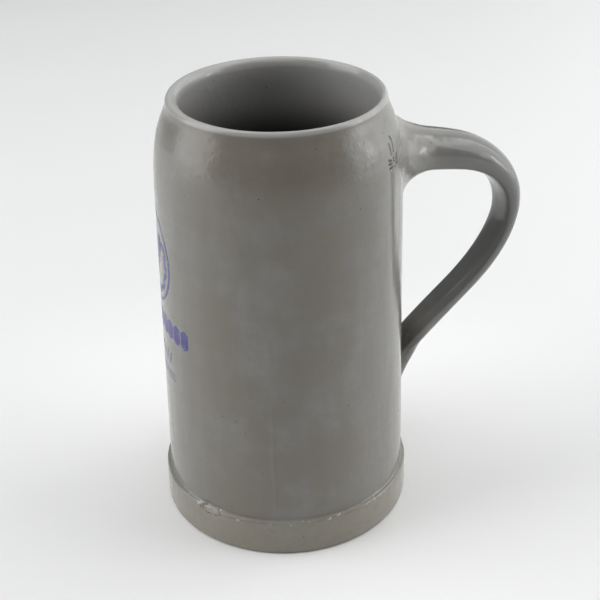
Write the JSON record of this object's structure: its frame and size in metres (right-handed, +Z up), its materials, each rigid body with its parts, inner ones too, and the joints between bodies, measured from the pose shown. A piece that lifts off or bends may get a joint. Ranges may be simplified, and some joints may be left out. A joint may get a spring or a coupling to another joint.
{
  "type": "beer stein",
  "caption": "Tall open stoneware mug with a proud foot band, a rounded lip and a side handle, for drinking and serving beer.",
  "frame": {"origin": "on the stein's axis, in the plane its foot ring stands on", "axes": "+Z up along the axis to the mouth, +X out through the handle"},
  "size_m": [0.1711, 0.1124, 0.196],
  "materials": {
    "salt_glazed_stoneware": "satin",
    "glazed_slip": "satin",
    "cobalt_print": "satin",
    "pale_cobalt_print": "satin",
    "oxide_stain": "satin"
  },
  "bodies": {
    "root": {"stein_body": "salt_glazed_stoneware", "handle": "salt_glazed_stoneware", "upper_slip_joint": "glazed_slip", "lower_slip_joint": "glazed_slip", "medallion_ring_print": "cobalt_print", "medallion_motif_print": "cobalt_print", "ornament_band_print": "cobalt_print", "leaf_row_print": "pale_cobalt_print", "rule_print": "pale_cobalt_print", "capacity_mark_stain": "oxide_stain"}
  },
  "joints": []
}
